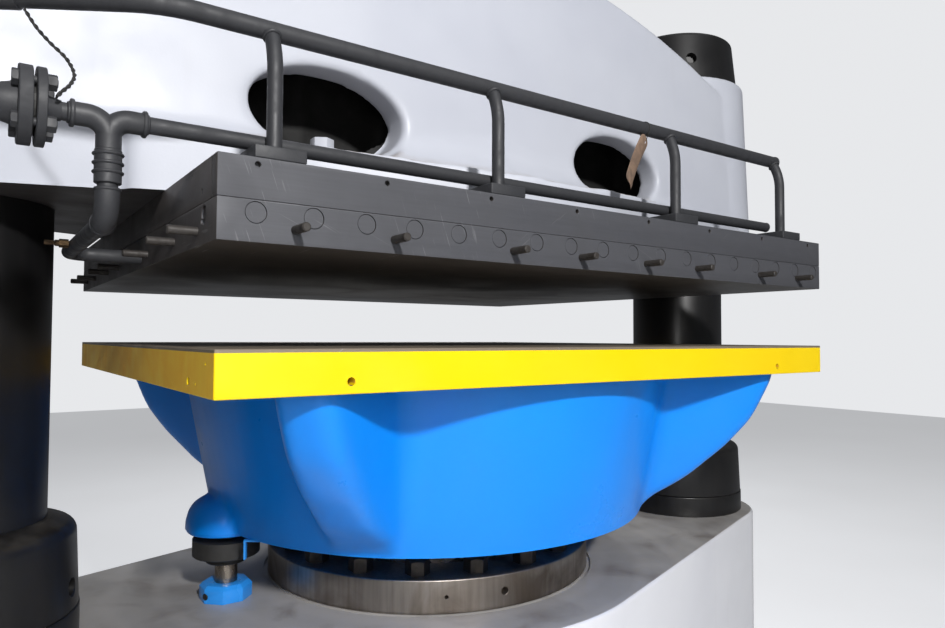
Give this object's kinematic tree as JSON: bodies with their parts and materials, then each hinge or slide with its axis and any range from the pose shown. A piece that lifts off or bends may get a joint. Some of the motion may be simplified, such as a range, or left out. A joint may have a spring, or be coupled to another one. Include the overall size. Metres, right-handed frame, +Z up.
{
  "type": "hydraulic press",
  "caption": "Two-column upstroke platen press: arched crosshead, heated upper platen with pipework, plate table on a horned casting, ram and boat-shaped base.",
  "frame": {"origin": "on the floor, under the middle of the base", "axes": "+Z up, +X along the line of the two columns, -Y towards the front, where the pipework is"},
  "size_m": [3.0634, 1.7, 2.6815],
  "materials": {
    "white_paint": "glossy white casting paint",
    "black_steel": "satin black",
    "dark_steel": "dark blued steel, satin",
    "pipe_paint": "matt dark grey heat-resistant paint",
    "bare_steel": "bare turned steel, oiled",
    "blue_paint": "glossy bright blue casting paint",
    "light_blue_paint": "glossy light blue",
    "yellow_paint": "safety yellow on the edges",
    "black_rubber": "matt",
    "brass": "dull brass",
    "card": "brown card"
  },
  "bodies": {
    "frame": {"base_casting": "white_paint", "crosshead": "white_paint", "clamp_bolt_front_left": "white_paint", "clamp_bolt_front_right": "white_paint", "clamp_bolt_rear_left": "white_paint", "clamp_bolt_rear_right": "white_paint", "column_left": "black_steel", "column_right": "black_steel", "base_ring_left": "black_steel", "base_ring_right": "black_steel", "base_nut_left": "black_steel", "base_nut_right": "black_steel", "foot_nut_left": "black_steel", "foot_nut_right": "black_steel", "top_nut_left": "black_steel", "top_nut_right": "black_steel", "collar_screw_left": "black_steel", "collar_screw_right": "black_steel", "upper_plate": "dark_steel", "front_strip": "dark_steel", "heating_platen": "dark_steel", "upper_manifold": "pipe_paint", "header_end_cap": "pipe_paint", "manifold_block_1": "pipe_paint", "manifold_block_2": "pipe_paint", "manifold_block_3": "pipe_paint", "manifold_block_4": "pipe_paint", "lower_header": "pipe_paint", "sweep_tee": "pipe_paint", "pipe_union": "pipe_paint", "drop_pipe": "pipe_paint", "inner_flange": "pipe_paint", "outer_flange": "pipe_paint", "flange_bolt_1": "pipe_paint", "flange_bolt_2": "pipe_paint", "flange_bolt_3": "pipe_paint", "flange_bolt_4": "pipe_paint", "supply_stub": "pipe_paint", "main_cylinder": "bare_steel", "gland_ring": "bare_steel", "guide_rod_left": "bare_steel", "guide_rod_right": "bare_steel", "rod_collar_left": "light_blue_paint", "rod_collar_right": "light_blue_paint", "ram_packing": "black_rubber", "flange_gasket": "black_rubber", "bonding_wire": "black_rubber", "drain_fitting": "brass", "hanging_tag": "card", "tag_string": "card"},
    "table": {"table_casting": "blue_paint", "table_plate": "yellow_paint", "ram": "bare_steel", "guide_bush_left": "black_rubber", "guide_bush_right": "black_rubber", "trip_finger": "light_blue_paint"}
  },
  "joints": [
    {"name": "table_lift", "type": "slide", "parent": "frame", "child": "table", "axis": [0, 0, 1], "range_m": [-0.052, 0.172]}
  ]
}
